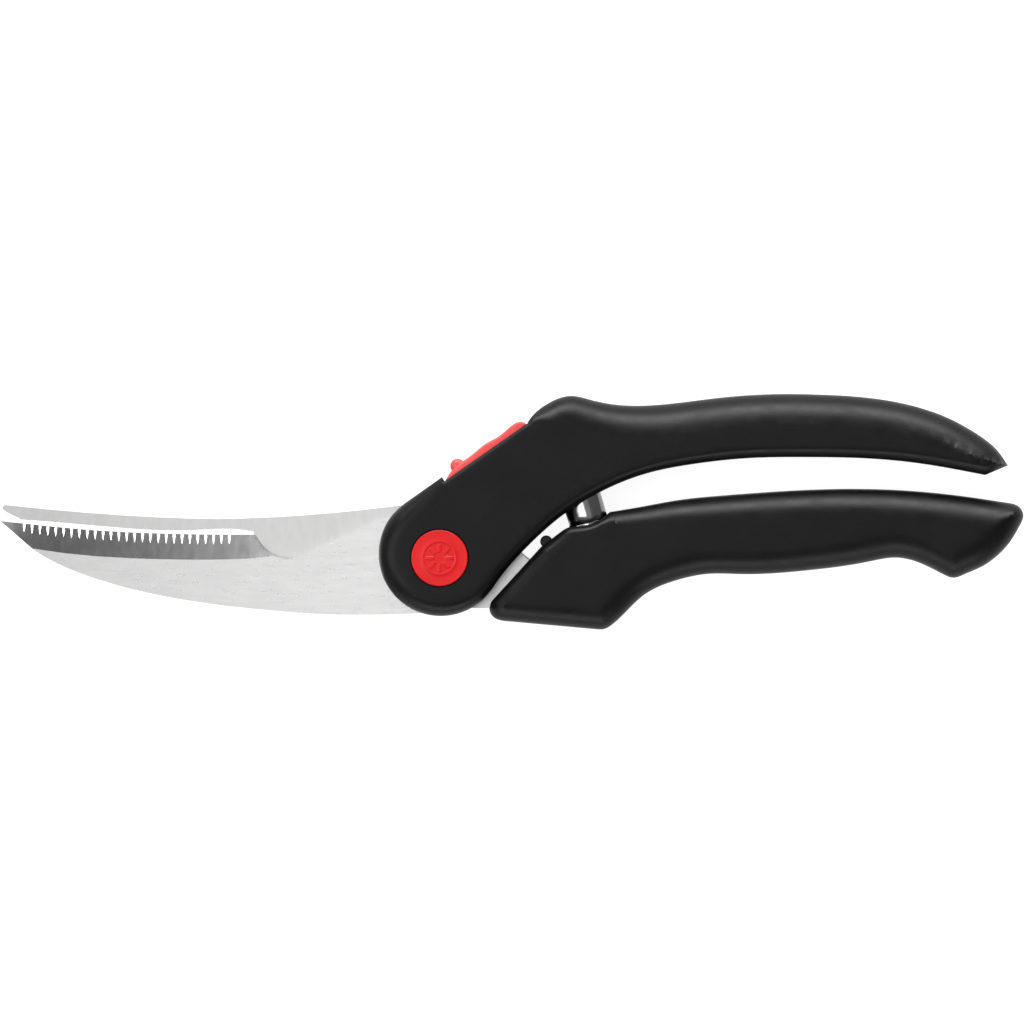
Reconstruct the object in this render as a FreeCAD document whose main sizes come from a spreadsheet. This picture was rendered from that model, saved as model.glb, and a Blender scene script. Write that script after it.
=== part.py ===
"""Poultry shears: two crossing steel levers with moulded grips, a covered pivot, a volute
opening spring and a sliding thumb lock.

The shears lie flat on Z = 0. X runs along them (blade tips at -X, grips at +X), Y runs across
them towards the upper grip, and the pivot's axis is the Z axis. They are closed and locked.
Lengths are millimetres. Beside the thumb lock, "along" and "out" are distances from the pivot
along the slot and square to it.
"""
import FreeCAD
import Part
import Sketcher
import os
from math import cos, radians, sin

doc = FreeCAD.newDocument("poultry_shears")
V = FreeCAD.Vector

# ---------------------------------------------------------------- driving dimensions
SIZES = {
    "grip_depth": 18.0,
    "steel": 3.0,
    "rear_steel_level": 5.95,
    "front_steel_level": 9.05,
    "shell_split": 9.0,
    "grip_rounding": 5.0,
    "boss_round": 15.2,
    "disc_round": 14.0,
    "heel_round": 12.5,
    "cap_round": 6.95,
    "cap_seat_round": 7.2,
    "cap_depth": 1.6,
    "cavity_round": 6.6,
    "bolt_round": 4.0,
    "bolt_head_round": 6.0,
    "bolt_head_depth": 2.4,
    "bush_round": 5.5,
    "running_gap": 0.05,
    "driver_slot_width": 1.4,
    "driver_slot_depth": 1.2,
    "washer_round": 6.2,
    "washer_depth": 0.5,
    "nut_level": 2.2,
    "nut_depth": 2.6,
    "nut_round": 5.8,
    "slot_angle": 35.0,
    "slot_edge": 14.6,
    "slot_start": 11.8,
    "slot_end": 36.6,
    "slot_run_end": 40.4,
    "slot_clearance": 0.1,
    "lock_pin_round": 1.2,
    "slider_level": 4.0,
    "slider_depth": 10.0,
    "hook_level": 6.25,
    "hook_depth": 2.2,
    "spring_round": 5.3,
    "spring_height": 9.8,
    "spring_strip": 0.55,
    "spring_lean": 16.0,
    "spring_level": 9.0,
    "spring_pocket_round": 5.5,
    "seat_round": 5.2,
    "lower_seat_depth": 0.4,
    "upper_seat_depth": 1.0,
    "seat_post_round": 0.9,
    "seat_post_length": 3.0,
    "spring_pitch": 1.15,
    "spring_turns": 3.25,
    "screw_round": 1.4,
    "screw_head_round": 2.7,
    "screw_head_depth": 1.6,
    "screw_sink": 0.6,
    "screw_length": 13.6,
    "dowel_round": 1.5,
    "dowel_level": 3.0,
    "dowel_length": 12.0,
    "buffer_round": 1.5,
    "buffer_level": 3.5,
    "buffer_length": 11.0,
    "serration_pitch": 1.93,
    "serration_round": 0.47,
    "serration_length": 2.9,
}
sheet = doc.addObject("Spreadsheet::Sheet", "Sizes")
for row, (alias, value) in enumerate(SIZES.items(), start=1):
    sheet.set(f"A{row}", alias)
    sheet.set(f"B{row}", str(value))
    sheet.setAlias(f"B{row}", alias)
doc.recompute()


def size(alias):
    """The sheet's value of one driving dimension."""
    return float(sheet.get(alias))


# ---------------------------------------------------------------- outline pieces
def polar(centre, radius, degrees):
    angle = radians(degrees)
    return (centre[0] + radius * cos(angle), centre[1] + radius * sin(angle))


def line(start, end):
    return Part.LineSegment(V(*start, 0), V(*end, 0))


def lines(*points):
    return [line(a, b) for a, b in zip(points, points[1:])]


def arc(centre, radius, start_degrees, end_degrees):
    """A circle's arc, counter-clockwise from the first angle to the second."""
    circle = Part.Circle(V(*centre, 0), V(0, 0, 1), radius)
    return Part.ArcOfCircle(circle, radians(start_degrees), radians(end_degrees))


def curve(*points, start_degrees=None, end_degrees=None):
    """A smooth curve through the points, with the headings asked for at its ends."""
    spline = Part.BSplineCurve()
    places = [V(x, y, 0) for x, y in points]
    if start_degrees is None or end_degrees is None:
        spline.interpolate(places)
        return spline
    first = V(cos(radians(start_degrees)), sin(radians(start_degrees)), 0)
    last = V(cos(radians(end_degrees)), sin(radians(end_degrees)), 0)
    spline.interpolate(Points=places, InitialTangent=first, FinalTangent=last)
    return spline


def slot_point(along, out):
    """A point given along the lock's slot and out from the pivot, in the shears' X and Y."""
    angle = radians(size("slot_angle"))
    return (along * cos(angle) - out * sin(angle), along * sin(angle) + out * cos(angle))


PIVOT = (0, 0)
BOSS = (0.3, 1.0)
SPRING_FOOT = (36.8, 8.2)
FRONT_TANG_SCREWS = [(30, 26.5), (80, 32.3), (126, 28.5)]
REAR_TANG_SCREWS = [(28, -8), (75, 6.6), (128, 4.5)]
FRONT_TANG_DOWELS = [(50, 29.4), (100, 32.3)]
REAR_TANG_DOWELS = [(48, 1.8), (98, 7.7)]
BUFFER_PLACE = (26.1, 4.0)


def lower_blade_outline():
    """The front steel: serrated blade, bone notch, pivot disc and the upper grip's tang."""
    heel = size("heel_round")
    arc_end = polar(PIVOT, heel, 1)
    arc_top = polar(PIVOT, heel, 79.7)
    shoulder = polar(PIVOT, heel, 115)
    return [
        line((-107.4, 9.03), (-99.5, 2.2)),
        curve((-99.5, 2.2), (-92.9, -1.6), (-77.2, -7.1), (-61.5, -10.4), (-38.1, -13.1),
              (-18, -13.9), (-7.2, -13.6), polar(PIVOT, heel, -78),
              start_degrees=-37, end_degrees=12),
        arc(PIVOT, heel, -78, 1),
        *lines(arc_end, (23.1, 8.9), (26.6, 20.0)),
        curve((26.6, 20.0), (40, 24.2), (60, 26.9), (85, 29), (112, 29.5),
              start_degrees=45, end_degrees=0),
        line((112, 29.5), (112, 35)),
        curve((112, 35), (85, 35.7), (60, 34.4), (42, 33.5), (31, 32.3),
              start_degrees=180, end_degrees=215),
        line((31, 32.3), arc_top),
        arc(PIVOT, heel, 79.7, 115),
        line(shoulder, (-11.7, 10.35)),
        curve((-11.7, 10.35), (-18, 7.5), (-26.1, 3.9), (-31.8, 1.2), (-35, 0.07), (-37.3, -0.2),
              (-39.3, 0.1), (-41.2, 0.76), (-43.2, 2.5), (-45.3, 5.7)),
        curve((-45.3, 5.7), (-53.7, 5.7), (-69.4, 6.0), (-85, 6.8), (-101.7, 8.4), (-107.4, 9.03)),
    ]


def upper_blade_outline():
    """The rear steel: smooth blade, pivot disc and the lower grip's tang."""
    disc = size("disc_round")
    return [
        curve((-106.3, 12.95), (-92.9, 11.6), (-77.2, 10.4), (-61.5, 9.64), (-53.7, 9.56),
              (-38.1, 10.1), (-22.4, 11.35), polar(PIVOT, disc, 97.2)),
        arc(PIVOT, disc, 49.1, 97.2),
        *lines(polar(PIVOT, disc, 49.1), (22.6, -1.1), (30, 0.8)),
        curve((30, 0.8), (44, 5.3), (60, 8.2), (85, 10.2), (112, 10.5),
              start_degrees=12, end_degrees=0),
        line((112, 10.5), (112, 5.5)),
        curve((112, 5.5), (85, 4.6), (62, 1.8), (50, -2.8), (42, -8), (37, -12.2)),
        line((37, -12.2), polar(PIVOT, disc, -60.6)),
        arc(PIVOT, disc, 238, 299.4),
        curve(polar(PIVOT, disc, 238), (-20, -6.5), (-36, -3), (-43.5, 1.6), (-45.5, 6.4)),
        curve((-45.5, 6.4), (-47.6, 6.8), (-61.5, 6.75), (-77.2, 7.3), (-92.9, 8.66),
              (-102.6, 9.4)),
        curve((-102.6, 9.4), (-105.4, 10.9), (-106.9, 12.4), (-106.3, 12.95)),
    ]


def round_run(centre, radius, start_degrees, end_degrees, count=9):
    """Points along a circle's arc."""
    step = (end_degrees - start_degrees) / (count - 1)
    return [polar(centre, radius, start_degrees + step * i) for i in range(count)]


def upper_grip_runs():
    """The upper grip with its round boss over the pivot, as runs of points, anticlockwise.

    Its edge dips towards the thumb lock's slot, whose end is cut out of it afterwards.
    """
    angle = radians(size("slot_angle"))
    boss = round_run(BOSS, size("boss_round"), 90 + size("slot_angle"), 326)
    boss_top = size("boss_round") + BOSS[1] * cos(angle) - BOSS[0] * sin(angle)
    shoulder = slot_point(41.6, boss_top)
    dip = [shoulder, slot_point(39.1, 15.6), slot_point(36.6, 14.8)]
    slot_top = slot_point(34, boss_top)
    underside = [boss[-1], (15.6, -3.75), (18.7, -0.12), (24.6, 5.82), (30.4, 10.67), (36, 14.3),
                 (42.2, 17.5), (50, 20.45), (61.7, 22.9), (77.4, 24.5), (89, 24.66), (100.9, 24.5),
                 (116.5, 23.26), (133.4, 20.3)]
    top = [(138.95, 22.6), (136.1, 26.6), (132.2, 29.8), (124.4, 34.2),
           (116.5, 37.0), (108.7, 38.65), (93, 39.95), (85.2, 40.1), (69.6, 39.3), (58, 37.9),
           (50, 37.25), (42.2, 37.6), (36.3, 38.85), (32.4, 39.65), (28.5, 38.8), shoulder]
    return [boss, underside, [underside[-1], top[0]], top, dip, [dip[-1], slot_top],
            [slot_top, boss[0]]]


def lower_grip_runs():
    """The lower grip, with the spring's seat near its front and a finger hook at its end."""
    front = [(12.7, -10.6), (24.9, 2.8), (30.3, 6.85)]
    seat = [front[-1], (31.6, 7.5), (33.1, 7.7), (35.1, 7.87), (37.35, 8.4), (39.0, 9.2),
            (40.1, 9.96), (41.7, 11.25)]
    top = [seat[-1], (50, 12.65), (57.8, 14.07), (69.6, 15.3), (85.2, 16.4),
           (100.9, 16.88), (116.5, 16.3), (132.2, 14.5), (138.8, 13.5), (141.6, 12.6),
           (142.75, 10.4), (142.0, 8.2), (139.5, 4.0), (136.1, 0.34), (132.2, -2.3), (128.3, -4.0),
           (125.6, -4.85), (123.4, -4.1), (116.5, -0.86), (112.0, 0.05), (104.8, -0.93),
           (89.1, -3.13), (73.5, -3.96), (65.7, -3.9), (57.8, -5.5), (50, -9.03), (42.2, -16.3),
           (40.2, -17.4), (38.0, -17.4)]
    nose = [(15.6, -15.4), (13.2, -14.5), (12.2, -12.7), front[0]]
    return [front[:2], front[1:], seat, top, [top[-1], nose[0]], nose]


def run_edges(runs):
    """A line for a run of two points, and a smooth curve through a longer one."""
    return [line(*run) if len(run) == 2 else curve(*run) for run in runs]


def inset_runs(runs, distance):
    """The closed outline's points moved inwards, less where two sides would meet."""
    corners = []
    for run in runs:
        corners += [V(*point, 0) for point in run[:-1]]
    area = sum(a.x * b.y - a.y * b.x for a, b in zip(corners, corners[1:] + corners[:1]))
    inward = 1 if area > 0 else -1
    moved = []
    for index, corner in enumerate(corners):
        before = (corner - corners[index - 1]).normalize()
        after = (corners[(index + 1) % len(corners)] - corner).normalize()
        heading = (before + after).normalize()
        normal = V(-heading.y, heading.x, 0) * inward
        mitre = min(1.4, 1 / max(0.3, heading.dot(after)))
        room = [(other - corner).Length ** 2 / (2 * normal.dot(other - corner))
                for other in corners if normal.dot(other - corner) > 0.01]
        moved.append(corner + normal * min(distance * mitre, 0.75 * min(room)))
    closed = [(place.x, place.y) for place in moved + moved[:1]]
    result = []
    start = 0
    for run in runs:
        end = start + len(run) - 1
        result.append(closed[start:end + 1])
        start = end
    return result


def rear_neck_outline():
    """The rear boss and the neck that joins it to the lower grip, behind the rear steel."""
    disc = size("disc_round") - 0.1
    top, bottom = 52, 298.2
    return [
        arc(PIVOT, disc, top, bottom),
        *lines(polar(PIVOT, disc, bottom), (30, -12.3), (30, -4.5), (23.2, -1.3),
               polar(PIVOT, disc, top)),
    ]


# ---------------------------------------------------------------- document objects
def origin_plane(body, role):
    return [item for item in body.Origin.OriginFeatures if item.Role == role][0]


def add_sketch(body, name, edges, role="XY_Plane"):
    """A sketch of the edges on one of the body's own planes, its meeting ends made coincident."""
    sketch = body.newObject("Sketcher::SketchObject", name)
    sketch.AttachmentSupport = [(origin_plane(body, role), "")]
    sketch.MapMode = "FlatFace"
    sketch.addGeometry(edges, False)
    ends = [(i, k, sketch.getPoint(i, k)) for i, edge in enumerate(edges)
            if not isinstance(edge, Part.Circle) for k in (1, 2)]
    for n, (i, k, place) in enumerate(ends):
        for j, m, other in ends[n + 1:]:
            if i != j and place.distanceToPoint(other) < 1e-5:
                sketch.addConstraint(Sketcher.Constraint("Coincident", i, k, j, m))
    return sketch


def add_pad(name, edges, depth, level="0"):
    """A body padded upwards by one expression from the level that another gives."""
    body = doc.addObject("PartDesign::Body", name)
    sketch = add_sketch(body, name + "_sketch", edges)
    pad = body.newObject("PartDesign::Pad", name + "_pad")
    pad.Profile = sketch
    pad.setExpression("Length", depth)
    sketch.Visibility = False
    body.setExpression("Placement.Base.z", level)
    doc.recompute()
    return body


# How deep each level of a grip's rounded edge lies and how far in it is, as shares of the rounding.
ROUNDED_LEVELS = [(1.0, 0), (0.5, 0.14), (0.2, 0.42), (0, 0.85)]


def add_rounded_shell(name, runs, flat, outer):
    """Half a grip: straight walls from its flat face, rounded over towards its outer face."""
    rounding = size("grip_rounding")
    side = 1 if outer > flat else -1
    levels = [(flat, 0)]
    levels += [(outer - side * rounding * depth, rounding * inset) for depth, inset in ROUNDED_LEVELS]
    sections = []
    for index, (level, inset) in enumerate(levels):
        sketch = doc.addObject("Sketcher::SketchObject", f"{name}_section_{index}")
        sketch.addGeometry(run_edges(inset_runs(runs, inset) if inset else runs), False)
        sketch.Placement.Base.z = level
        sections.append(sketch)
    loft = doc.addObject("Part::Loft", name)
    loft.Sections = sections
    loft.Solid = True
    loft.Ruled = True
    doc.recompute()
    return loft


def add_cylinder(name, place, radius, depth, level):
    cylinder = doc.addObject("Part::Cylinder", name)
    cylinder.Placement.Base = V(*place, 0)
    cylinder.setExpression("Radius", radius)
    cylinder.setExpression("Height", depth)
    cylinder.setExpression("Placement.Base.z", level)
    return cylinder


SLOT_TURN = FreeCAD.Rotation(V(0, 0, 1), size("slot_angle"))


def add_slot_box(name, along, out, level, depth):
    """A box beside the lock's slot, from (start, end) along it and (low, high) out from it."""
    box = doc.addObject("Part::Box", name)
    corner = slot_point(along[0], out[0])
    box.Length = along[1] - along[0]
    box.Width = out[1] - out[0]
    box.Placement = FreeCAD.Placement(V(*corner, 0), SLOT_TURN)
    box.setExpression("Placement.Base.z", level)
    box.setExpression("Height", depth)
    return box


def fused(name, shapes):
    fuse = doc.addObject("Part::MultiFuse", name)
    fuse.Shapes = shapes
    return fuse


def cut(name, base, tool):
    result = doc.addObject("Part::Cut", name)
    result.Base = base
    result.Tool = tool
    return result


def rings(outer, inner, centre=PIVOT):
    return [Part.Circle(V(*centre, 0), V(0, 0, 1), radius) for radius in (outer, inner)]


NODES = {}


def keep(node, item):
    """Names the sub-part, which is also its file's name."""
    item.Label = node
    NODES[node] = item
    return item


# ---------------------------------------------------------------- the two steels
FLUTES = 27


def edge_height(along):
    """The serrated edge's Y at a given X."""
    return 5.7 + 0.00107 * (along + 50.0) ** 2


def bevel_wedge():
    """The wedge ground off the front of the lower blade, behind its serrated edge.

    Its slope starts above the blade's front, so it crosses the front cleanly at the foot.
    """
    front = size("front_steel_level") + size("steel")
    drop = size("steel") - 0.05
    lead = 0.1
    stations = [(-108.5, 4.9, 10.6), (-104, 3.4, 10.2), (-99.5, 2.3, 9.75), (-92, 1.2, 9.05),
                (-84, 0.42, 8.45), (-76, -0.06, 8.0), (-68, -0.32, 7.65), (-60, -0.44, 7.4),
                (-52, -0.38, 7.3), (-46.5, -0.16, 7.3), (-41.2, 0.4, 7.3)]
    sections = []
    for index, (along, foot, over) in enumerate(stations):
        section = doc.addObject("Part::Polygon", f"bevel_section_{index}")
        section.Nodes = [V(along, foot - lead * (over - foot), front + lead * drop),
                         V(along, over, front + 1.0), V(along, over, front - drop)]
        section.Close = True
        sections.append(section)
    loft = doc.addObject("Part::Loft", "bevel_wedge")
    loft.Sections = sections
    loft.Solid = True
    loft.Ruled = True
    return loft


def serrations():
    """Flutes that narrow as they run down the bevel from the edge."""
    cones = []
    for index in range(FLUTES):
        along = -101.6 + index * size("serration_pitch")
        cone = doc.addObject("Part::Cone", f"serration_{index}")
        cone.setExpression("Radius1", "Sizes.serration_round")
        cone.Radius2 = 0.04
        cone.setExpression("Height", "Sizes.serration_length")
        start = V(along, edge_height(along) + 0.25, size("front_steel_level") + 0.55)
        cone.Placement = FreeCAD.Placement(start, FreeCAD.Rotation(V(0, 0, 1), V(0, -1, 0.36)))
        cones.append(cone)
    return fused("serration_flutes", cones)


def add_bores(name, pivot_round, screws, dowels):
    """The holes through one steel for the pivot, the grip screws and the dowels."""
    holes = [(PIVOT, pivot_round)]
    holes += [(place, "Sizes.screw_round") for place in screws]
    holes += [(place, "Sizes.dowel_round") for place in dowels]
    return [add_cylinder(f"{name}_bore_{i}", place, radius, "Sizes.grip_depth", "0")
            for i, (place, radius) in enumerate(holes)]


blade = add_pad("lower_blade_blank", lower_blade_outline(), "Sizes.steel", "Sizes.front_steel_level")
front_bores = add_bores("front_steel", "Sizes.bolt_round", FRONT_TANG_SCREWS[:2], FRONT_TANG_DOWELS)
bevelled = cut("bevelled_blade", blade, bevel_wedge())
serrated = cut("serrated_blade", bevelled, serrations())
keep("lower_blade", cut("lower_blade", serrated, fused("front_steel_bores", front_bores)))

blade = add_pad("upper_blade_blank", upper_blade_outline(), "Sizes.steel", "Sizes.rear_steel_level")
rear_bores = add_bores("rear_steel", "Sizes.bush_round", REAR_TANG_SCREWS[:2], REAR_TANG_DOWELS)
catch = add_slot_box("lock_catch", (10.6, 16.0), (5.5, 8.0), "0", "Sizes.grip_depth")
keep("upper_blade", cut("upper_blade", blade, fused("upper_blade_cuts", [*rear_bores, catch])))
doc.recompute()

# ---------------------------------------------------------------- the pivot
pivot_shank = add_cylinder("pivot_shank", PIVOT, "Sizes.bolt_round",
                           "Sizes.front_steel_level + Sizes.steel - Sizes.nut_level", "Sizes.nut_level")
bolt_head = add_cylinder("bolt_head", PIVOT, "Sizes.bolt_head_round", "Sizes.bolt_head_depth",
                         "Sizes.front_steel_level + Sizes.steel + Sizes.washer_depth")
head_neck = add_cylinder("bolt_neck", PIVOT, "Sizes.bolt_round", "Sizes.washer_depth",
                         "Sizes.front_steel_level + Sizes.steel")
driver_slot = doc.addObject("Part::Box", "driver_slot")
driver_slot.setExpression("Length", "2.4 * Sizes.bolt_head_round")
driver_slot.setExpression("Width", "Sizes.driver_slot_width")
driver_slot.setExpression("Height", "2 * Sizes.driver_slot_depth")
driver_slot.setExpression("Placement.Base.x", "-1.2 * Sizes.bolt_head_round")
driver_slot.setExpression("Placement.Base.y", "-0.5 * Sizes.driver_slot_width")
driver_slot.setExpression("Placement.Base.z", "Sizes.front_steel_level + Sizes.steel + Sizes.washer_depth"
                          " + Sizes.bolt_head_depth - Sizes.driver_slot_depth")
bolt_blank = fused("bolt_blank", [pivot_shank, head_neck, bolt_head])
keep("pivot_bolt", cut("pivot_bolt", bolt_blank, driver_slot))
keep("bolt_head_washer", add_pad("bolt_head_washer", rings(size("washer_round"), size("bolt_round")),
                                 "Sizes.washer_depth", "Sizes.front_steel_level + Sizes.steel"))
bush_bore = size("bolt_round") + size("running_gap")
keep("pivot_bush", add_pad("pivot_bush", rings(size("bush_round"), bush_bore), "Sizes.steel",
                           "Sizes.rear_steel_level"))
keep("spring_washer", add_pad("spring_washer", rings(size("washer_round"), size("bolt_round")),
                              "Sizes.rear_steel_level - Sizes.nut_level - Sizes.nut_depth - 0.1",
                              "Sizes.nut_level + Sizes.nut_depth"))
hexagon = lines(*[polar(PIVOT, size("nut_round"), 60 * i) for i in range(7)])
nut_bore = Part.Circle(V(0, 0, 0), V(0, 0, 1), size("bolt_round"))
keep("pivot_nut", add_pad("pivot_nut", [*hexagon, nut_bore], "Sizes.nut_depth", "Sizes.nut_level"))


def add_cap(name, front):
    """A round cover, its visible rim chamfered."""
    level = "Sizes.grip_depth - Sizes.cap_depth" if front else "0"
    cap = add_cylinder(name + "_disc", PIVOT, "Sizes.cap_round", "Sizes.cap_depth", level)
    doc.recompute()
    rim_height = size("grip_depth") if front else 0
    chamfer = doc.addObject("Part::Chamfer", name)
    chamfer.Base = cap
    rims = [i + 1 for i, edge in enumerate(cap.Shape.Edges)
            if abs(edge.CenterOfMass.z - rim_height) < 0.01 and edge.Closed]
    chamfer.Edges = [(rim, 0.35, 0.35) for rim in rims]
    return chamfer


keep("front_pivot_cap", add_cap("front_pivot_cap", True))
keep("rear_pivot_cap", add_cap("rear_pivot_cap", False))


# ---------------------------------------------------------------- screws, dowels and buffer
def add_screws(name, places):
    """Countersunk-in screws from the rear face, one solid each."""
    solids = []
    for index, place in enumerate(places):
        head = add_cylinder(f"{name}_head_{index}", place, "Sizes.screw_head_round",
                            "Sizes.screw_head_depth", "Sizes.screw_sink")
        shank = add_cylinder(f"{name}_shank_{index}", place, "Sizes.screw_round", "Sizes.screw_length",
                             "Sizes.screw_sink")
        solids += [head, shank]
    return fused(name, solids)


def screw_holes(name, places):
    """The sinks that the screw heads lie in, open at the rear face."""
    depth = "Sizes.screw_sink + Sizes.screw_head_depth"
    return [add_cylinder(f"{name}_sink_{i}", place, "Sizes.screw_head_round", depth, "0")
            for i, place in enumerate(places)]


def add_dowels(name, places):
    """Locating dowels through a tang into both halves of its grip, one solid each."""
    dowels = [add_cylinder(f"{name}_{i}", place, "Sizes.dowel_round", "Sizes.dowel_length",
                           "Sizes.dowel_level") for i, place in enumerate(places)]
    return fused(name, dowels)


upper_screws = keep("upper_grip_screws", add_screws("upper_grip_screws", FRONT_TANG_SCREWS))
lower_screws = keep("lower_grip_screws", add_screws("lower_grip_screws", REAR_TANG_SCREWS))
upper_dowels = keep("upper_tang_dowels", add_dowels("upper_tang_dowels", FRONT_TANG_DOWELS))
lower_dowels = keep("lower_tang_dowels", add_dowels("lower_tang_dowels", REAR_TANG_DOWELS))
stop_buffer = keep("stop_buffer", add_cylinder("stop_buffer", BUFFER_PLACE, "Sizes.buffer_round",
                                               "Sizes.buffer_length", "Sizes.buffer_level"))

# ---------------------------------------------------------------- the thumb lock
SLIDER_PROFILE = [(11.95, 0.1), (14.3, 1.4), (14.8, 2.5), (15.9, 3.1), (17.2, 3.05), (18.2, 2.3),
                  (18.7, 1.6), (22.4, 1.75), (25.0, 2.0), (28.7, 1.55), (33.0, 1.9), (34.7, 1.75),
                  (35.8, 0.95), (36.1, 0.1)]
edge = size("slot_edge")
slider_points = [(along, edge + out) for along, out in SLIDER_PROFILE]
slider_bar = add_pad("slider_bar", lines(*slider_points, slider_points[0]), "Sizes.slider_depth",
                     "Sizes.slider_level")
slider_bar.Placement.Rotation = SLOT_TURN
slider_leg = add_slot_box("slider_leg", (19, 26), (10.0, edge + 1), "Sizes.slider_level",
                          "Sizes.hook_level - Sizes.slider_level - Sizes.slot_clearance")
pin_place = slot_point(22.5, 11.6)
pin_bore = add_cylinder("lock_pin_bore", pin_place, "Sizes.lock_pin_round", "Sizes.grip_depth", "0")
keep("lock_slider", cut("lock_slider", fused("slider_blank", [slider_bar, slider_leg]), pin_bore))
HOOK_PROFILE = [(13.1, 6.0), (25.5, 6.0), (25.5, 13.2), (19.5, 13.2), (19.5, 8.0), (13.4, 7.6)]
hook_plate = add_pad("hook_plate", lines(*HOOK_PROFILE, HOOK_PROFILE[0]), "Sizes.hook_depth",
                     "Sizes.hook_level")
hook_plate.Placement.Rotation = SLOT_TURN
keep("lock_hook", cut("lock_hook", hook_plate, pin_bore))
keep("lock_pin", add_cylinder("lock_pin", pin_place, "Sizes.lock_pin_round",
                              "Sizes.hook_level + Sizes.hook_depth - Sizes.slider_level",
                              "Sizes.slider_level"))
DETENT_PROFILE = [(17.5, 4.6), (19.5, 4.6), (23.0, 5.5), (26.5, 4.6), (31.0, 4.6), (31.0, 4.9),
                  (26.6, 4.9), (23.0, 5.85), (19.4, 4.9), (17.5, 4.9)]
detent = add_pad("lock_detent_spring", lines(*DETENT_PROFILE, DETENT_PROFILE[0]), "Sizes.hook_depth",
                 "Sizes.hook_level")
detent.Placement.Rotation = SLOT_TURN
keep("lock_detent_spring", detent)
lock_recess = add_slot_box("lock_recess", (size("slot_start"), size("slot_end")), (edge, edge + 6),
                           "-1", "Sizes.grip_depth + 2")
lock_run = add_slot_box("lock_run", (size("slot_end") - 0.5, size("slot_run_end")), (edge, edge + 6),
                        "Sizes.slider_level - Sizes.slot_clearance",
                        "Sizes.slider_depth + 2 * Sizes.slot_clearance")
cavity_level = "Sizes.slider_level - Sizes.slot_clearance"
cavity_depth = "Sizes.front_steel_level - Sizes.slider_level + Sizes.slot_clearance"
lock_channel = add_slot_box("lock_channel", (18.6, 30.0), (12, edge + 2), cavity_level, cavity_depth)
lock_cavity = add_slot_box("lock_cavity", (11.0, 31.0), (4.6, 13.5), cavity_level, cavity_depth)

# ---------------------------------------------------------------- the volute spring and its seats
lean = FreeCAD.Rotation(V(0, 0, 1), size("spring_lean"))
upright = FreeCAD.Rotation(V(1, 0, 0), -90)
axis_turn = lean.multiply(upright)
spring_up = lean.multVec(V(0, 1, 0))
foot = V(*SPRING_FOOT, size("spring_level"))


def place_on_axis(item, distance):
    """Puts an object's own Z axis on the spring's axis, a distance up from the foot."""
    item.Placement = FreeCAD.Placement(foot + spring_up * distance, axis_turn)
    return item


def spiral_ribbon():
    """A strip wound in a flat spiral, as high as the spring is when the shears are closed."""
    outer = size("spring_round")
    strip = size("spring_strip")
    pitch = size("spring_pitch")
    turns = size("spring_turns")
    steps = 40

    def spiral(radius):
        places = []
        for step in range(steps + 1):
            angle = 360 * turns * step / steps
            places.append(V(*polar(PIVOT, radius - pitch * turns * step / steps, angle), 0))
        path = Part.BSplineCurve()
        path.interpolate(places)
        return path

    outside = spiral(outer)
    inside = spiral(outer - strip)
    ends = [Part.LineSegment(outside.StartPoint, inside.StartPoint),
            Part.LineSegment(outside.EndPoint, inside.EndPoint)]
    wire = Part.Wire(Part.__sortEdges__([item.toShape() for item in (outside, inside, *ends)]))
    return Part.Face(wire).extrude(V(0, 0, size("spring_height")))


volute = doc.addObject("Part::Feature", "volute_spring")
volute.Shape = spiral_ribbon()
keep("volute_spring", place_on_axis(volute, size("lower_seat_depth")))


def add_seat(name, distance, depth, post_length):
    """A round seat on the spring's axis, with a post up or down it that enters the spring's eye."""
    disc = doc.addObject("Part::Cylinder", name + "_disc")
    disc.setExpression("Radius", "Sizes.seat_round")
    disc.setExpression("Height", depth)
    place_on_axis(disc, distance)
    post = doc.addObject("Part::Cylinder", name + "_post")
    post.setExpression("Radius", "Sizes.seat_post_round")
    post.Height = abs(post_length)
    place_on_axis(post, distance + (size("lower_seat_depth") if post_length > 0 else post_length))
    return fused(name, [disc, post])


post_length = size("seat_post_length")
upper_seat_level = size("lower_seat_depth") + size("spring_height")
upper_seat_end = upper_seat_level + size("upper_seat_depth")
keep("lower_spring_seat", add_seat("lower_spring_seat", 0, "Sizes.lower_seat_depth", post_length))
keep("upper_spring_seat", add_seat("upper_spring_seat", upper_seat_level, "Sizes.upper_seat_depth",
                                   -post_length))


def spring_pocket(name, start, end):
    """The round room for the spring inside a grip, between two distances from its foot."""
    pocket = doc.addObject("Part::Cylinder", name)
    pocket.setExpression("Radius", "Sizes.spring_pocket_round")
    pocket.Height = end - start
    return place_on_axis(pocket, start)


upper_pocket = spring_pocket("upper_spring_pocket", 2, upper_seat_end)
lower_pocket = spring_pocket("lower_spring_pocket", 0, 6)

# ---------------------------------------------------------------- the grips
doc.recompute()
cap_seat_front = add_cylinder("cap_seat_front", PIVOT, "Sizes.cap_seat_round", "2 * Sizes.cap_depth",
                              "Sizes.grip_depth - Sizes.cap_depth")
cap_seat_rear = add_cylinder("cap_seat_rear", PIVOT, "Sizes.cap_seat_round", "2 * Sizes.cap_depth",
                             "-1 * Sizes.cap_depth")
pivot_cavity_front = add_cylinder("pivot_cavity_front", PIVOT, "Sizes.cavity_round",
                                  "Sizes.grip_depth", "Sizes.shell_split")
pivot_cavity_rear = add_cylinder("pivot_cavity_rear", PIVOT, "Sizes.cavity_round",
                                 "Sizes.grip_depth", "0")

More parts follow.
